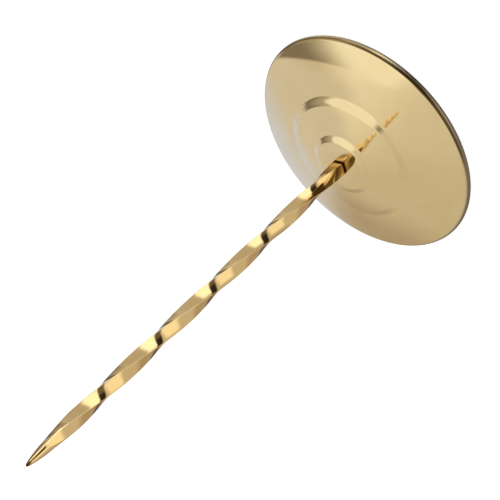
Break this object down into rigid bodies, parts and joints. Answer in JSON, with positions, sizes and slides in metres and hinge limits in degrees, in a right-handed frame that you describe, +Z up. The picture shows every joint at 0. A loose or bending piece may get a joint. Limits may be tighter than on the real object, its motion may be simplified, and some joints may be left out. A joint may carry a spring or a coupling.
{
  "type": "bill spike",
  "caption": "Desk bill spike: a twisted square spike with a ground point, clamped upright in a stepped, domed dish that stands on a turned-in hem and holds impaled paper slips.",
  "frame": {"origin": "centre of the dish's hem, on the table that the spike stands on", "axes": "+Z up along the spike, towards its point; at the spike's foot a corner of the square bar faces -Y"},
  "size_m": [0.08, 0.08, 0.1635],
  "materials": {
    "dish_brass": "polished",
    "spike_brass": "polished",
    "zinc_steel": "bright zinc plated"
  },
  "bodies": {
    "root": {"base_dish": "dish_brass", "spike": "spike_brass", "flat_washer": "zinc_steel", "spring_washer": "zinc_steel", "hex_nut": "zinc_steel"}
  },
  "joints": []
}
